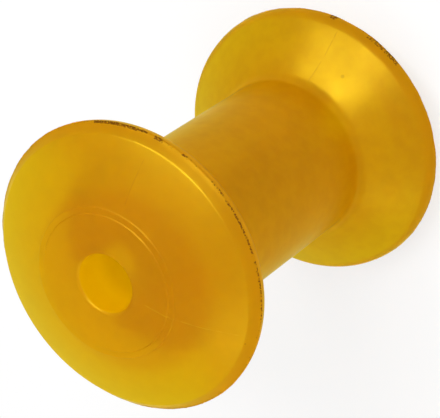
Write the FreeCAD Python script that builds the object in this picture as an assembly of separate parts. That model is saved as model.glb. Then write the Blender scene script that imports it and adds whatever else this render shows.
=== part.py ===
import FreeCAD, Part
import math
import os

# Boat trailer roller, moulded in one piece from translucent urethane.
# It is a spool: a round barrel between two flanges that taper towards their rims.
# Each end face is a shallow cone with a low stepped land round the bore.
# The bore axis is Z, and the origin is the middle of the bore. All sizes are in mm.

# Overall sizes
overall_length = 101.6
flange_diameter = 69.8
barrel_diameter = 41.2

# Plain bore, which runs loose on its shaft and has an eased mouth
shaft_diameter = 12.7
bore_clearance = 1.1
mouth_easing = 1.1

# Land round each mouth, two fine steps above the end face
land_diameter = 33.4
land_border_width = 1.6
land_step_height = 0.25
land_step_slope_width = 0.2

# Rim, with a bevel outside the parting edge and a rounded back inside it
parting_depth = 9.0
bevel_height = 2.3
bevel_angle = 41.0
bevel_corner_rounding = 1.1
rim_back_rounding = 4.2

# Groove that the keel runs in, with sloping walls that flow into the barrel
groove_wall_angle = 37.0
groove_foot_easing = 2.0

# Straight stretches of the outline shorter than this are left out
shortest_line = 0.001


def rounded(before, corner, after, radius):
    """The tangent arc that rounds a corner, with its start and end."""
    back = (before - corner).normalize()
    onward = (after - corner).normalize()
    half_angle = back.getAngle(onward) / 2
    setback = radius / math.tan(half_angle)
    start = corner + back * setback
    end = corner + onward * setback
    inward = (back + onward).normalize()
    middle = corner + inward * (radius / math.sin(half_angle) - radius)
    return start, end, Part.Arc(start, middle, end).toShape()


def eased(before, corner, after, reach):
    """The soft curve that eases a corner from this reach before it to this reach after it."""
    start = corner + (before - corner).normalize() * reach
    end = corner + (after - corner).normalize() * reach
    curve = Part.BezierCurve()
    curve.setPoles([start, corner, end])
    return start, end, curve.toShape()


def outline(corners):
    """A closed wire through corners given as radius, height and finish.

    A finish is None for a sharp corner, or one of the two curves above and its size.
    """
    points = [FreeCAD.Vector(radius, 0, height) for radius, height, finish in corners]
    followers = points[1:] + points[:1]
    pieces = []
    for index, (radius, height, finish) in enumerate(corners):
        if finish is None:
            pieces.append((points[index], points[index], None))
        else:
            draw, size = finish
            pieces.append(draw(points[index - 1], points[index], followers[index], size))
    edges = []
    for (start, end, curve), (next_start, next_end, next_curve) in zip(pieces, pieces[1:] + pieces[:1]):
        if curve is not None:
            edges.append(curve)
        if end.distanceToPoint(next_start) > shortest_line:
            edges.append(Part.LineSegment(end, next_start).toShape())
    return Part.Wire(edges)


def end_face_corners():
    """The top end face, from the bore mouth over the stepped land to the bevel."""
    top = overall_length / 2
    bore_radius = (shaft_diameter + bore_clearance) / 2
    land_radius = land_diameter / 2
    border_radius = land_radius + land_border_width
    border_height = top - land_step_height
    face_height = border_height - land_step_height
    bevel_top = top - parting_depth + bevel_height
    bevel_radius = flange_diameter / 2 - bevel_height * math.tan(math.radians(bevel_angle))
    return [
        (bore_radius, top, (eased, mouth_easing)),
        (land_radius - land_step_slope_width, top, None),
        (land_radius, border_height, None),
        (border_radius - land_step_slope_width, border_height, None),
        (border_radius, face_height, None),
        (bevel_radius, bevel_top, (rounded, bevel_corner_rounding)),
    ]


def rim_and_groove_corners():
    """The top rim and groove wall, from the parting edge to the barrel."""
    rim_radius = flange_diameter / 2
    barrel_radius = barrel_diameter / 2
    parting = overall_length / 2 - parting_depth
    wall_rise = math.tan(math.radians(groove_wall_angle))
    back_turn = math.radians(90 - groove_wall_angle)
    rim_back = parting - rim_back_rounding * math.tan(back_turn / 2)
    groove_foot = rim_back - (rim_radius - barrel_radius) * wall_rise
    return [
        (rim_radius, parting, None),
        (rim_radius, rim_back, (rounded, rim_back_rounding)),
        (barrel_radius, groove_foot, (eased, groove_foot_easing)),
    ]


def roller():
    """The whole roller, turned from its half section about the bore axis."""
    upper = end_face_corners() + rim_and_groove_corners()
    lower = [(radius, -height, finish) for radius, height, finish in reversed(upper)]
    section = Part.Face(outline(upper + lower))
    return section.revolve(FreeCAD.Vector(0, 0, 0), FreeCAD.Vector(0, 0, 1), 360)


os.makedirs("parts", exist_ok=True)
roller().exportStep("parts/roller.step")
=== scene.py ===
import math

import bpy
from mathutils import Matrix, Vector, noise


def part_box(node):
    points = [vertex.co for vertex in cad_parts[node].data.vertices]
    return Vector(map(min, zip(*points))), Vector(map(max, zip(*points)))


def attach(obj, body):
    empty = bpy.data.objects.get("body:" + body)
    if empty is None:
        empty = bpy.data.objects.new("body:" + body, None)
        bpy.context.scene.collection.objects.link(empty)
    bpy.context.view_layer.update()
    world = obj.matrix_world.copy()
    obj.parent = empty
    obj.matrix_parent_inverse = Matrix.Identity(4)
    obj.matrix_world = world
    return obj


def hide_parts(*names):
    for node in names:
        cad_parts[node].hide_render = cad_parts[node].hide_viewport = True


# Looks of a moulded urethane boat trailer roller, in metres, with the bore axis along Z.

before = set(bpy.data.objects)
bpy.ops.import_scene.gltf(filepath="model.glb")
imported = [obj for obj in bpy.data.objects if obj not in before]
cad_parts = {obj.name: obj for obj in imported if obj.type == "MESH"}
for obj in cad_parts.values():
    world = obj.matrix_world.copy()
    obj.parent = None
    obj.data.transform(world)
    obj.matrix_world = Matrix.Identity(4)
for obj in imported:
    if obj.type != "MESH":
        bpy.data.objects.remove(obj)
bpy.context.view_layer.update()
NODE = "roller"
BODY = "root"

# Sizes of the roller. The box of the solid gives its length and the width of its flanges.
node_low, node_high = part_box(NODE)
END_HEIGHT = node_high.z
RIM_RADIUS = node_high.x
BARREL_RADIUS = 0.0206
BORE_RADIUS = 0.0069
MOUTH_EASING = 0.0011
LAND_RADIUS = 0.0167
BORDER_RADIUS = 0.0183
STEP_HEIGHT = 0.00025
STEP_SLOPE_WIDTH = 0.0002
STEP_EDGE_ROUNDING = 0.00009
END_FACE_CROWN = 0.0004
PARTING_HEIGHT = END_HEIGHT - 0.009
BEVEL_HEIGHT = 0.0023
BEVEL_ANGLE = math.radians(41)
BEVEL_CORNER_ROUNDING = 0.0011
RIM_BACK_ROUNDING = 0.0042
GROOVE_WALL_ANGLE = math.radians(37)
GROOVE_FOOT_EASING = 0.002

# Flash left at the parting line. Long waves and a fine ripple vary its height about the mean share.
FLASH_HEIGHT = 0.00016
FLASH_HALF_WIDTH = 0.0002
FLASH_LEAST_SHARE = 0.1
FLASH_MEAN_SHARE = 0.45
FLASH_WAVE_SHARE = 0.6
FLASH_WAVE_FINENESS = 9
FLASH_WAVE_SHIFT = 3
FLASH_RIPPLE_SHARE = 0.5
FLASH_RIPPLE_FINENESS = 60
FLASH_RIPPLE_SHIFT = 7

# Residue along the parting lines. Each patch is its side, 1 for the upper rim and -1 for the lower one,
# its azimuth and half angle in degrees, its reach inwards and outwards from the parting line along the
# axis, and how thickly it is speckled.
RESIDUE = [
    (1, -39, 9, 0, 0.0004, 0.69),
    (1, -49.5, 3, 0.0001, 0.0002, 0.67),
    (1, -57.5, 1.4, 0.0002, 0.0004, 0.66),
    (1, -68.8, 0.6, 0.0001, 0.0002, 0.66),
    (1, -86, 4, 0.0002, 0.0001, 0.56),
    (1, -101, 10, 0, 0.0002, 0.63),
    (1, -126, 11, 0, 0.0001, 0.6),
    (-1, -51.5, 1.2, 0.0013, 0, 0.68),
    (-1, -76.5, 8, 0.0012, 0, 0.62),
]
SPARSE_RESIDUE = 0.42
RESIDUE_FADE = math.radians(2)
RESIDUE_EDGE = 0.0003
RESIDUE_DEPTH = 0.002
RESIDUE_GRAIN = 0.00045
RESIDUE_SOFTNESS = 0.2
RESIDUE_HEIGHT = 0.00003
RESIDUE_COLOUR = (0.1, 0.035, 0.002, 1)

# Small brown flecks in the surface: azimuth in degrees, radius, height and size
FLECKS = [
    (-148, 0.0332, 0.0438, 0.00015),
    (-71.5, 0.0263, -0.0332, 0.0003),
]
FLECK_STRENGTH = 0.35

# Knit lines, fine and broken. Each is azimuth in degrees, inner and outer radius, lowest and highest point.
NEAR_KNIT_LINE = (-144.5, 0.0115, 0.031, 0.043, 0.052)
FAINT_KNIT_LINE = (-56.5, 0.021, 0.03, 0.043, 0.052)
FAR_KNIT_LINE = (-56.5, 0.0225, 0.0325, -0.0395, -0.03)
KNIT_HALF_WIDTH = 0.0001
KNIT_FADE = 0.001
KNIT_WANDER = 0.0016
KNIT_WANDER_LENGTH = 0.012
KNIT_BREAK_LENGTH = 0.003
KNIT_BREAK_RANGE = (0.36, 0.52)
KNIT_BREAK_REMAINDER = 0.15
KNIT_RIDGE_HEIGHT = 0.000015
PALE_LINE_COLOUR = (0.95, 0.8, 0.05, 1)
PALE_LINE_STRENGTH = 0.5
DARK_LINE_COLOUR = (0.35, 0.18, 0.01, 1)
DARK_LINE_STRENGTH = 0.35
FAINT_LINE_SHARE = 0.6

# Mottled amber of the whole surface
DEEP_TINT = (0.67, 0.46, 0.003, 1)
LIGHT_TINT = (0.72, 0.52, 0.003, 1)
BLOTCH_SIZE = 0.003

# Tint of the end faces, deeper over the core, partly for its thickness and partly as the painted shadow of
# the barrel seen through the flange, and a painted glow in a spot beside the mouth. Each spot has its
# centre, and the two distances from it between which it fades. The share is what the mottling keeps.
THIN_TINT = (0.82, 0.63, 0.003, 1)
CORE_DEPTH_AND_SHADE_TINT = (0.74, 0.435, 0.003, 1)
CORE_CENTRE = (-0.002, -0.0035)
CORE_EDGE = (0.019, 0.024)
GLOW_TINT = (0.92, 0.72, 0.003, 1)
GLOW_CENTRE = (0.002, -0.008)
GLOW_EDGE = (0.0015, 0.0058)
BLOTCH_SHARE = 0.4

# Tint of the rims, which grows between these radii, and of the bore: a painted glow near its mouth, which
# gives way to painted shade between these depths
RIM_TINT = (0.77, 0.51, 0.003, 1)
RIM_EDGE = (0.0325, 0.0345)
BORE_GLOW_TINT = (1.0, 0.82, 0.003, 1)
BORE_SHADE_TINT = (0.8, 0.58, 0.003, 1)
BORE_SHADE_DEPTH = (0.006, 0.012)
BORE_TINT_FADE = MOUTH_EASING / 3

# Gloss and relief of the surface
ROUGHNESS_RANGE = (0.3, 0.38)
GLOSS_PATCH_SIZE = 0.008
GRAIN_SIZE = 0.0005
GRAIN_HEIGHT = 0.000004
WAVE_SIZE = 0.007
WAVE_HEIGHT = 0.00003

# Detail of the noise, and the range of it that a blotch or a patch of gloss spans
PLAIN_DETAIL = 1
MEDIUM_DETAIL = 2
FINE_DETAIL = 3
CLOUD_RANGE = (0.3, 0.7)

# Thin yellow skin of the moulding, and the golden share of its gloss
SKIN_TINT = (1, 1, 0.25, 1)
SKIN_IOR = 1.05
SKIN_ROUGHNESS = 0.35
GOLDEN_GLOSS = 0.12

# Inside of the urethane. Light is lost and scattered this much in each metre. The density of the loss is
# taken above the strongest colour of it, so that no colour of the node reaches black.
ABSORPTION = (0.8, 15.5, 200.0)
ABSORPTION_DENSITY = 2 * max(ABSORPTION)
SCATTERING = 38.0
SURFACE_IOR = 1.28

# Bounces that the light needs to come through the urethane
VOLUME_BOUNCES = 64
TRANSMISSION_BOUNCES = 32
ALL_BOUNCES = 80

# Fineness of the mesh. Stretches of the outline shorter than the least one are left out.
TURN_STEPS = 440
CURVE_STEPS = 6
TIGHT_CURVE_STEPS = 3
LONGEST_STRETCH = 0.002
SHORTEST_STRETCH = 0.000001

# Floor, background and lamps. Each lamp is name, azimuth, elevation, width and power.
WHITE = (1, 1, 1, 1)
FLOOR_GREY = (0.85, 0.85, 0.85, 1)
FLOOR_REACH = 6.0
FLOOR_GAP = 0.00002
FLOOR_WHITE_SHARE = 0.7
AMBIENT_STRENGTH = 0.62
LAMP_DISTANCE = 1.2
LAMPS = [
    ("key", math.radians(-22.7), math.radians(46.1), 0.35, 4.2),
    ("front", math.radians(-60), math.radians(52), 0.6, 7.5),
    ("back", math.radians(170), math.radians(40), 0.6, 2),
]

# Camera at the photograph's viewing angle
CAMERA_SENSOR_MM = 36
CAMERA_LENS_MM = 163.6
CAMERA_ELEVATION = math.radians(49.8)
CAMERA_ROLL = math.radians(-124.96)
CAMERA_DISTANCE = 0.4783
CAMERA_RIGHT_OFFSET = -0.00149
CAMERA_UP_OFFSET = -0.00229

# Sockets of a colour Mix node, whose names it shares with its number and vector ones
MIX_SHARE = 0
MIX_FIRST = 6
MIX_SECOND = 7
MIX_RESULT = 2


def arc_points(before, corner, after, radius, steps):
    """Points of the tangent arc that rounds a corner."""
    back = (before - corner).normalized()
    onward = (after - corner).normalized()
    half_angle = back.angle(onward) / 2
    start = corner + back * (radius / math.tan(half_angle))
    centre = corner + (back + onward).normalized() * (radius / math.sin(half_angle))
    turn = math.pi - 2 * half_angle
    arm = start - centre
    side = 1 if back.x * onward.y - back.y * onward.x < 0 else -1
    points = []
    for step in range(steps + 1):
        angle = side * turn * step / steps
        turned = Vector((
            arm.x * math.cos(angle) - arm.y * math.sin(angle),
            arm.x * math.sin(angle) + arm.y * math.cos(angle),
        ))
        points.append(centre + turned)
    return points


def eased_points(before, corner, after, reach, steps):
    """Points of the soft curve that eases a corner."""
    start = corner + (before - corner).normalized() * reach
    end = corner + (after - corner).normalized() * reach
    points = []
    for step in range(steps + 1):
        share = step / steps
        points.append(start * (1 - share) ** 2 + corner * 2 * share * (1 - share) + end * share ** 2)
    return points


def outline_points(corners):
    """Points of a closed outline through corners given as radius, height and finish.

    A finish is None for a sharp corner, or one of the two curves above, its size and its steps.
    Long stretches are divided.
    """
    places = [Vector((radius, height)) for radius, height, finish in corners]
    points = []
    for index, (radius, height, finish) in enumerate(corners):
        before = places[index - 1]
        corner = places[index]
        after = places[(index + 1) % len(places)]
        if finish is None:
            drawn = [corner]
        else:
            curve, size, steps = finish
            drawn = curve(before, corner, after, size, steps)
        points.extend(drawn)
    divided = []
    for index, point in enumerate(points):
        previous = points[index - 1]
        gap = (point - previous).length
        if gap < SHORTEST_STRETCH:
            continue
        pieces = max(1, math.ceil(gap / LONGEST_STRETCH))
        for piece in range(1, pieces + 1):
            divided.append(previous.lerp(point, piece / pieces))
    return divided


def section_corners():
    """Corners of the whole section, from the top bore mouth round to the lower one."""
    bevel_top = PARTING_HEIGHT + BEVEL_HEIGHT
    bevel_radius = RIM_RADIUS - BEVEL_HEIGHT * math.tan(BEVEL_ANGLE)
    back_turn = math.pi / 2 - GROOVE_WALL_ANGLE
    rim_back = PARTING_HEIGHT - RIM_BACK_ROUNDING * math.tan(back_turn / 2)
    groove_foot = rim_back - (RIM_RADIUS - BARREL_RADIUS) * math.tan(GROOVE_WALL_ANGLE)
    step_edge = (arc_points, STEP_EDGE_ROUNDING, TIGHT_CURVE_STEPS)
    upper = [
        (BORE_RADIUS, END_HEIGHT, (eased_points, MOUTH_EASING, CURVE_STEPS)),
        (LAND_RADIUS - STEP_SLOPE_WIDTH, END_HEIGHT, step_edge),
        (LAND_RADIUS, END_HEIGHT - STEP_HEIGHT, step_edge),
        (BORDER_RADIUS - STEP_SLOPE_WIDTH, END_HEIGHT - STEP_HEIGHT, step_edge),
        (BORDER_RADIUS, END_HEIGHT - 2 * STEP_HEIGHT, step_edge),
        (bevel_radius, bevel_top, (arc_points, BEVEL_CORNER_ROUNDING, CURVE_STEPS)),
        (RIM_RADIUS - FLASH_HALF_WIDTH * math.tan(BEVEL_ANGLE), PARTING_HEIGHT + FLASH_HALF_WIDTH, None),
        (RIM_RADIUS, PARTING_HEIGHT, None),
        (RIM_RADIUS, rim_back, (arc_points, RIM_BACK_ROUNDING, 2 * CURVE_STEPS)),
        (BARREL_RADIUS, groove_foot, (eased_points, GROOVE_FOOT_EASING, CURVE_STEPS)),
    ]
    lower = [(radius, -height, finish) for radius, height, finish in reversed(upper)]
    return upper + lower


def flash_height(azimuth, side):
    """Height of the flash, which varies round the rim and differs on the two sides."""
    x = math.cos(azimuth)
    y = math.sin(azimuth)
    wave = noise.noise(Vector((x * FLASH_WAVE_FINENESS, y * FLASH_WAVE_FINENESS, side * FLASH_WAVE_SHIFT)))
    ripple = noise.noise(
        Vector((x * FLASH_RIPPLE_FINENESS, y * FLASH_RIPPLE_FINENESS, side * FLASH_RIPPLE_SHIFT))
    )
    share = FLASH_MEAN_SHARE + FLASH_WAVE_SHARE * wave + FLASH_RIPPLE_SHARE * ripple
    return FLASH_HEIGHT * max(FLASH_LEAST_SHARE, min(1, share))


def shaped_point(point, azimuth):
    """A point of the section carried round the axis, with the end face's crown and the flash added."""
    radius = point.x
    height = point.y
    side = 1 if height > 0 else -1
    bevel_radius = RIM_RADIUS - BEVEL_HEIGHT * math.tan(BEVEL_ANGLE)
    if abs(height) > PARTING_HEIGHT + BEVEL_HEIGHT and BORDER_RADIUS < radius < bevel_radius:
        share = (radius - BORDER_RADIUS) / (bevel_radius - BORDER_RADIUS)
        height += side * END_FACE_CROWN * 4 * share * (1 - share)
    from_parting = abs(abs(height) - PARTING_HEIGHT)
    if from_parting < FLASH_HALF_WIDTH / 2 and radius > RIM_RADIUS - FLASH_HALF_WIDTH:
        radius += flash_height(azimuth, side)
    return (radius * math.cos(azimuth), radius * math.sin(azimuth), height)


def roller_mesh():
    """The roller's surface, turned about the bore axis."""
    outline = outline_points(section_corners())
    ring_size = len(outline)
    points = []
    for turn in range(TURN_STEPS):
        azimuth = 2 * math.pi * turn / TURN_STEPS
        points.extend(shaped_point(point, azimuth) for point in outline)
    faces = []
    for turn in range(TURN_STEPS):
        here = turn * ring_size
        there = (turn + 1) % TURN_STEPS * ring_size
        for index in range(ring_size):
            following = (index + 1) % ring_size
            faces.append((here + index, here + following, there + following, there + index))
    mesh = bpy.data.meshes.new("roller_form")
    mesh.from_pydata(points, [], faces)
    mesh.update()
    mesh.shade_smooth()
    return mesh


def connect(tree, value, socket):
    """Gives a socket a plain value, or links another node's output to it."""
    if isinstance(value, bpy.types.NodeSocket):
        tree.links.new(value, socket)
    else:
        socket.default_value = value


def maths(tree, operation, *values):
    """One sum on numbers or outputs."""
    node = tree.nodes.new("ShaderNodeMath")
    node.operation = operation
    for value, socket in zip(values, node.inputs):
        connect(tree, value, socket)
    return node.outputs[0]


def product(tree, first, *others):
    """All of these multiplied together."""
    for other in others:
        first = maths(tree, "MULTIPLY", first, other)
    return first


def ramp(tree, value, start, end, first, last):
    """Eases from first to last while the value goes from start to end."""
    node = tree.nodes.new("ShaderNodeMapRange")
    node.interpolation_type = "SMOOTHSTEP"
    connect(tree, value, node.inputs["Value"])
    connect(tree, start, node.inputs["From Min"])
    connect(tree, end, node.inputs["From Max"])
    node.inputs["To Min"].default_value = first
    node.inputs["To Max"].default_value = last
    return node.outputs["Result"]


def band(tree, value, middle, half_width, softness):
    """1 near the middle value, fading to 0 past the half width."""
    away = maths(tree, "ABSOLUTE", maths(tree, "SUBTRACT", value, middle))
    return ramp(tree, away, half_width, half_width + softness, 1, 0)


def between(tree, value, low, high, softness):
    """1 from low to high, fading to 0 outside."""
    return band(tree, value, (low + high) / 2, (high - low) / 2, softness)


def cloud(tree, place, grain, detail):
    """Soft noise about a half, with blotches of about the grain size."""
    node = tree.nodes.new("ShaderNodeTexNoise")
    tree.links.new(place, node.inputs["Vector"])
    node.inputs["Scale"].default_value = 1 / grain
    node.inputs["Detail"].default_value = detail
    return node.outputs["Fac"]


def mixed_colour(tree, share, first, second):
    """The first colour, with this share of the second."""
    node = tree.nodes.new("ShaderNodeMix")
    node.data_type = "RGBA"
    connect(tree, share, node.inputs[MIX_SHARE])
    connect(tree, first, node.inputs[MIX_FIRST])
    connect(tree, second, node.inputs[MIX_SECOND])
    return node.outputs[MIX_RESULT]


def parting_residue(tree, place, radius, azimuth, height):
    """Dark mould residue: 1 on the specks of it along both parting lines."""
    size = maths(tree, "ABSOLUTE", height)
    thin_line = band(tree, size, PARTING_HEIGHT, RESIDUE_EDGE, RESIDUE_EDGE)
    strength = maths(tree, "MULTIPLY", thin_line, SPARSE_RESIDUE)
    for side, azimuth_degrees, half_degrees, inner, outer, amount in RESIDUE:
        middle = math.radians(azimuth_degrees)
        along = band(tree, azimuth, middle, math.radians(half_degrees), RESIDUE_FADE)
        reach = sorted((side * (PARTING_HEIGHT - inner), side * (PARTING_HEIGHT + outer)))
        across = between(tree, height, *reach, RESIDUE_EDGE)
        strength = maths(tree, "MAXIMUM", strength, product(tree, along, across, amount))
    threshold = maths(tree, "SUBTRACT", 1, strength)
    specks = cloud(tree, place, RESIDUE_GRAIN, FINE_DETAIL)
    speckled = ramp(tree, specks, threshold, maths(tree, "ADD", threshold, RESIDUE_SOFTNESS), 0, 1)
    on_rim = ramp(tree, radius, RIM_RADIUS - RESIDUE_DEPTH, RIM_RADIUS, 0, 1)
    return product(tree, speckled, on_rim)


def knit_line(tree, place, radius, azimuth, height, line):
    """A fine line that runs outwards on one face, where two flows met in the mould."""
    azimuth_degrees, inner, outer, low, high = line
    wander = maths(tree, "SUBTRACT", cloud(tree, place, KNIT_WANDER_LENGTH, PLAIN_DETAIL), 0.5)
    turn = maths(tree, "SUBTRACT", azimuth, math.radians(azimuth_degrees))
    sideways = maths(tree, "ADD", product(tree, turn, radius), product(tree, wander, KNIT_WANDER))
    across = band(tree, sideways, 0, KNIT_HALF_WIDTH, KNIT_HALF_WIDTH)
    outwards = between(tree, radius, inner, outer, KNIT_FADE)
    upwards = between(tree, height, low, high, KNIT_FADE)
    breaks = cloud(tree, place, KNIT_BREAK_LENGTH, PLAIN_DETAIL)
    broken = ramp(tree, breaks, *KNIT_BREAK_RANGE, KNIT_BREAK_REMAINDER, 1)
    return product(tree, across, outwards, upwards, broken)


def flecks(tree, place):
    """1 on the small flecks."""
    strength = 0
    for azimuth_degrees, radius, height, size in FLECKS:
        azimuth = math.radians(azimuth_degrees)
        node = tree.nodes.new("ShaderNodeVectorMath")
        node.operation = "DISTANCE"
        tree.links.new(place, node.inputs[0])
        node.inputs[1].default_value = (radius * math.cos(azimuth), radius * math.sin(azimuth), height)
        near = ramp(tree, node.outputs["Value"], size, 2 * size, 1, 0)
        strength = maths(tree, "MAXIMUM", strength, near)
    return strength


def length_of(tree, x, y):
    """Length of a plan vector with these two parts."""
    return maths(tree, "SQRT", maths(tree, "ADD", product(tree, x, x), product(tree, y, y)))


def spot(tree, x, y, centre, edge):
    """1 in a round spot of the plan, fading to 0 across its edge."""
    along = maths(tree, "SUBTRACT", x, centre[0])
    across = maths(tree, "SUBTRACT", y, centre[1])
    away = length_of(tree, along, across)
    return ramp(tree, away, *edge, 1, 0)


def end_tint(tree, x, y):
    """Colour of an end face: yellow where it is thin, deeper over the core with the painted shadow of the
    barrel seen through, and a painted glow beside the mouth.
    """
    # Painted shadow of the barrel over the core, seen through the flange, and a painted glow beside the
    # mouth
    core = spot(tree, x, y, CORE_CENTRE, CORE_EDGE)
    glow = spot(tree, x, y, GLOW_CENTRE, GLOW_EDGE)
    return mixed_colour(tree, glow, mixed_colour(tree, core, THIN_TINT, CORE_DEPTH_AND_SHADE_TINT), GLOW_TINT)


def urethane():
    """Translucent amber urethane, satin as moulded, with its residue and knit lines."""
    material = bpy.data.materials.new("amber_urethane")
    material.use_nodes = True
    tree = material.node_tree
    shader = tree.nodes["Principled BSDF"]
    place = tree.nodes.new("ShaderNodeTexCoord").outputs["Object"]
    parts = tree.nodes.new("ShaderNodeSeparateXYZ")
    tree.links.new(place, parts.inputs[0])
    x, y, height = parts.outputs
    radius = length_of(tree, x, y)
    azimuth = maths(tree, "ARCTAN2", y, x)

    residue = parting_residue(tree, place, radius, azimuth, height)
    pale_line = knit_line(tree, place, radius, azimuth, height, NEAR_KNIT_LINE)
    dark_lines = maths(
        tree, "MAXIMUM",
        knit_line(tree, place, radius, azimuth, height, FAR_KNIT_LINE),
        product(tree, knit_line(tree, place, radius, azimuth, height, FAINT_KNIT_LINE), FAINT_LINE_SHARE),
    )
    blotches = ramp(tree, cloud(tree, place, BLOTCH_SIZE, FINE_DETAIL), *CLOUD_RANGE, 0, 1)
    tint = mixed_colour(tree, blotches, DEEP_TINT, LIGHT_TINT)
    from_middle = maths(tree, "ABSOLUTE", height)
    on_end = ramp(tree, from_middle, PARTING_HEIGHT, PARTING_HEIGHT + BEVEL_HEIGHT, 0, 1)
    # The end faces take a painted shadow over the core and a painted glow beside the mouth
    tint = mixed_colour(tree, product(tree, on_end, 1 - BLOTCH_SHARE), tint, end_tint(tree, x, y))
    tint = mixed_colour(tree, ramp(tree, radius, *RIM_EDGE, 0, 1), tint, RIM_TINT)
    # Painted glow in the bore near its mouth, fading into painted shade deeper in
    depth = maths(tree, "SUBTRACT", END_HEIGHT, from_middle)
    bore_glow_and_shade = mixed_colour(tree, ramp(tree, depth, *BORE_SHADE_DEPTH, 0, 1), BORE_GLOW_TINT, BORE_SHADE_TINT)
    in_bore = ramp(tree, radius, BORE_RADIUS, BORE_RADIUS + BORE_TINT_FADE, 1, 0)
    tint = mixed_colour(tree, in_bore, tint, bore_glow_and_shade)
    tint = mixed_colour(tree, product(tree, pale_line, PALE_LINE_STRENGTH), tint, PALE_LINE_COLOUR)
    tint = mixed_colour(tree, product(tree, dark_lines, DARK_LINE_STRENGTH), tint, DARK_LINE_COLOUR)
    tint = mixed_colour(tree, product(tree, flecks(tree, place), FLECK_STRENGTH), tint, RESIDUE_COLOUR)
    tint = mixed_colour(tree, residue, tint, RESIDUE_COLOUR)
    tree.links.new(tint, shader.inputs["Base Color"])
    gloss = ramp(tree, cloud(tree, place, GLOSS_PATCH_SIZE, FINE_DETAIL), *CLOUD_RANGE, *ROUGHNESS_RANGE)
    tree.links.new(gloss, shader.inputs["Roughness"])

    relief = product(tree, cloud(tree, place, GRAIN_SIZE, MEDIUM_DETAIL), GRAIN_HEIGHT)
    waves = cloud(tree, place, WAVE_SIZE, PLAIN_DETAIL)
    relief = maths(tree, "ADD", relief, product(tree, waves, WAVE_HEIGHT))
    relief = maths(tree, "ADD", relief, product(tree, pale_line, KNIT_RIDGE_HEIGHT))
    relief = maths(tree, "SUBTRACT", relief, product(tree, dark_lines, KNIT_RIDGE_HEIGHT))
    relief = maths(tree, "ADD", relief, product(tree, residue, RESIDUE_HEIGHT))
    bump = tree.nodes.new("ShaderNodeBump")
    bump.inputs["Distance"].default_value = 1
    tree.links.new(relief, bump.inputs["Height"])
    tree.links.new(bump.outputs[0], shader.inputs["Normal"])

    shader.inputs["IOR"].default_value = SURFACE_IOR
    shader.inputs["Metallic"].default_value = GOLDEN_GLOSS
    shader.inputs["Transmission Weight"].default_value = 1
    shader.inputs["Coat Weight"].default_value = 1
    shader.inputs["Coat IOR"].default_value = SKIN_IOR
    shader.inputs["Coat Roughness"].default_value = SKIN_ROUGHNESS
    shader.inputs["Coat Tint"].default_value = SKIN_TINT
    absorption = tree.nodes.new("ShaderNodeVolumeAbsorption")
    absorption.inputs["Density"].default_value = ABSORPTION_DENSITY
    kept = [1 - loss / ABSORPTION_DENSITY for loss in ABSORPTION]
    absorption.inputs["Color"].default_value = kept + [1]
    scattering = tree.nodes.new("ShaderNodeVolumeScatter")
    scattering.inputs["Density"].default_value = SCATTERING
    inside = tree.nodes.new("ShaderNodeAddShader")
    tree.links.new(absorption.outputs[0], inside.inputs[0])
    tree.links.new(scattering.outputs[0], inside.inputs[1])
    tree.links.new(inside.outputs[0], tree.nodes["Material Output"].inputs["Volume"])
    return material


def sees_background(tree):
    """1 for rays from the camera, a reflection or through the urethane, which meet the white background."""
    ray = tree.nodes.new("ShaderNodeLightPath").outputs
    seen = maths(tree, "MAXIMUM", ray["Is Camera Ray"], ray["Is Glossy Ray"])
    return maths(tree, "MAXIMUM", seen, ray["Is Transmission Ray"])


def mixed_shader(tree, share, first, second):
    """The first shader, with this share of the second."""
    mix = tree.nodes.new("ShaderNodeMixShader")
    connect(tree, share, mix.inputs[0])
    tree.links.new(first, mix.inputs[1])
    tree.links.new(second, mix.inputs[2])
    return mix.outputs[0]


def floor_material():
    """White floor that keeps a soft shadow."""
    material = bpy.data.materials.new("white_floor")
    material.use_nodes = True
    tree = material.node_tree
    tree.nodes.remove(tree.nodes["Principled BSDF"])
    diffuse = tree.nodes.new("ShaderNodeBsdfDiffuse")
    diffuse.inputs["Color"].default_value = FLOOR_GREY
    white = tree.nodes.new("ShaderNodeEmission")
    share = product(tree, sees_background(tree), FLOOR_WHITE_SHARE)
    mix = mixed_shader(tree, share, diffuse.outputs[0], white.outputs[0])
    tree.links.new(mix, tree.nodes["Material Output"].inputs["Surface"])
    return material


def make_floor():
    """A wide pale floor under the lower end."""
    height = node_low.z - FLOOR_GAP
    sides = [(-1, -1), (1, -1), (1, 1), (-1, 1)]
    corners = [(x * FLOOR_REACH, y * FLOOR_REACH, height) for x, y in sides]
    mesh = bpy.data.meshes.new("floor")
    mesh.from_pydata(corners, [], [(0, 1, 2, 3)])
    floor = bpy.data.objects.new("floor", mesh)
    floor.data.materials.append(floor_material())
    bpy.context.scene.collection.objects.link(floor)


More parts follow.
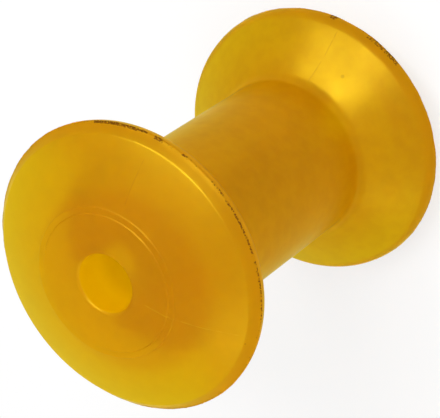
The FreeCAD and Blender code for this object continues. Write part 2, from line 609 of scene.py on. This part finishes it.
def make_world():
    """A white background, and a plain grey light on the object."""
    world = bpy.data.worlds.new("studio")
    bpy.context.scene.world = world
    world.use_nodes = True
    tree = world.node_tree
    ambient = tree.nodes["Background"]
    ambient.inputs["Color"].default_value = WHITE
    ambient.inputs["Strength"].default_value = AMBIENT_STRENGTH
    white = tree.nodes.new("ShaderNodeBackground")
    white.inputs["Color"].default_value = WHITE
    mix = mixed_shader(tree, sees_background(tree), ambient.outputs[0], white.outputs[0])
    tree.links.new(mix, tree.nodes["World Output"].inputs["Surface"])


def make_lamp(name, azimuth, elevation, width, power):
    """A round soft lamp that faces the middle of the roller."""
    level = math.cos(elevation)
    direction = Vector((level * math.cos(azimuth), level * math.sin(azimuth), math.sin(elevation)))
    lamp = bpy.data.lights.new(name, "AREA")
    lamp.shape = "DISK"
    lamp.size = width
    lamp.energy = power
    holder = bpy.data.objects.new(name, lamp)
    holder.location = direction * LAMP_DISTANCE
    holder.rotation_mode = "QUATERNION"
    holder.rotation_quaternion = (-direction).to_track_quat("-Z", "Y")
    bpy.context.scene.collection.objects.link(holder)


def make_camera():
    """The camera, at the photograph's viewing angle."""
    back = Vector((0, -math.cos(CAMERA_ELEVATION), math.sin(CAMERA_ELEVATION)))
    level = Vector((1, 0, 0))
    rise = back.cross(level)
    right = level * math.cos(CAMERA_ROLL) + rise * math.sin(CAMERA_ROLL)
    up = back.cross(right)
    camera = bpy.data.cameras.new("camera")
    camera.sensor_width = CAMERA_SENSOR_MM
    camera.lens = CAMERA_LENS_MM
    holder = bpy.data.objects.new("camera", camera)
    place = back * CAMERA_DISTANCE + right * CAMERA_RIGHT_OFFSET + up * CAMERA_UP_OFFSET
    turn = Matrix((right, up, back)).transposed().to_4x4()
    holder.matrix_world = Matrix.Translation(place) @ turn
    bpy.context.scene.collection.objects.link(holder)
    bpy.context.scene.camera = holder


scene = bpy.context.scene
scene.view_settings.view_transform = "Standard"
scene.cycles.volume_bounces = VOLUME_BOUNCES
scene.cycles.transmission_bounces = TRANSMISSION_BOUNCES
scene.cycles.max_bounces = ALL_BOUNCES
piece = bpy.data.objects.new("moulded_roller", roller_mesh())
scene.collection.objects.link(piece)
piece.data.materials.append(urethane())
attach(piece, BODY)
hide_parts(NODE)
make_floor()
make_world()
for lamp_settings in LAMPS:
    make_lamp(*lamp_settings)
make_camera()
